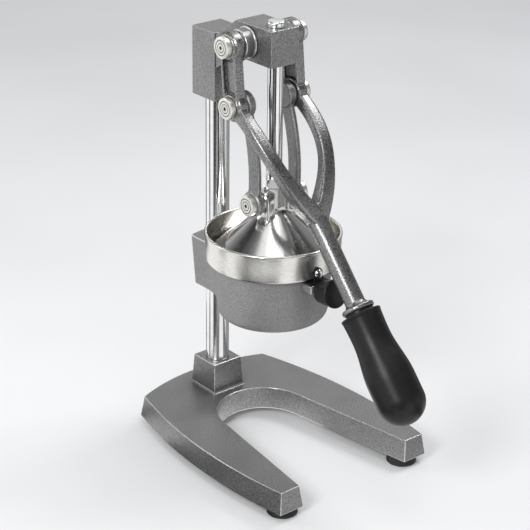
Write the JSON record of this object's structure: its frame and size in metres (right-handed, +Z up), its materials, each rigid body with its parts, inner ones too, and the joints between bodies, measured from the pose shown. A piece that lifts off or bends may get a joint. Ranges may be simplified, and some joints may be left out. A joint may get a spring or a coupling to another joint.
{
  "type": "lever citrus juice press",
  "caption": "Free-standing lever citrus press: horseshoe base, chrome column, forked lever with a toggle linkage, polished press cone over a strainer and funnel cup.",
  "frame": {"origin": "middle of the footprint, on the table, at the bottom of the rubber feet, with the lever down", "axes": "+X to the press's right as seen by its user, -Y towards the user (the grip's side), +Z up along the column"},
  "size_m": [0.1934, 0.3212, 0.4218],
  "materials": {
    "hammertone": "hammertone lacquer, glossy, with bright edges",
    "chrome": "mirror polished",
    "steel_sheet": "satin, brushed round the axis",
    "steel_polished": "bright polish with soft machining lines",
    "steel_pin": "turned, satin",
    "steel_fastener": "zinc plated, satin",
    "washer_metal": "dark satin",
    "grip_black": "satin black moulding",
    "knob_black": "glossy black moulding",
    "bracket_black": "satin black paint",
    "foot_rubber": "matt black"
  },
  "bodies": {
    "frame": {"base": "hammertone", "foot_front_left": "foot_rubber", "foot_front_right": "foot_rubber", "foot_rear_left": "foot_rubber", "foot_rear_right": "foot_rubber", "foot_screws": "steel_fastener", "column": "chrome", "column_bolt": "steel_fastener", "column_washer": "steel_fastener", "holder": "hammertone", "holder_screw": "steel_fastener", "head": "hammertone", "head_screws": "steel_fastener", "funnel_cup": "steel_sheet", "strainer_cone": "steel_sheet", "cup_bracket": "bracket_black", "cup_rivet": "steel_polished", "cup_knob": "knob_black", "trunnion_washers": "washer_metal", "trunnion_pin_left": "steel_pin", "trunnion_pin_right": "steel_pin"},
    "lever": {"lever": "hammertone", "grip": "grip_black", "knee_pin_left": "steel_pin", "knee_pin_right": "steel_pin"},
    "link_left": {"link_left": "hammertone", "knee_washer_left": "washer_metal"},
    "link_right": {"link_right": "hammertone", "knee_washer_right": "washer_metal"},
    "plunger": {"plunger_rod": "chrome", "rod_cap": "steel_polished", "press_cone": "steel_polished", "jam_nut": "hammertone", "crosshead_washers": "washer_metal", "crosshead_pin_left": "steel_pin", "crosshead_pin_right": "steel_pin"}
  },
  "joints": [
    {"name": "lever_swing", "type": "hinge", "parent": "frame", "child": "lever", "pos_m": [0, 0.05849, 0.4], "axis": [-1, 0, 0], "range_deg": [0, 115]},
    {"name": "plunger_slide", "type": "slide", "parent": "frame", "child": "plunger", "axis": [0, 0, 1], "range_m": [0, 0.08607]},
    {"name": "link_left_swing", "type": "hinge", "parent": "plunger", "child": "link_left", "pos_m": [-0.024, 0.03839, 0.25372], "axis": [1, 0, 0], "range_deg": [0, 26.06]},
    {"name": "link_right_swing", "type": "hinge", "parent": "plunger", "child": "link_right", "pos_m": [0.024, 0.03839, 0.25372], "axis": [1, 0, 0], "range_deg": [0, 26.06]}
  ],
  "couplings": [
    {"joint": "plunger_slide", "follows": "lever_swing", "m_per_rad": 0.042873},
    {"joint": "link_left_swing", "follows": "lever_swing", "ratio": 0.22641},
    {"joint": "link_right_swing", "follows": "lever_swing", "ratio": 0.22641}
  ]
}
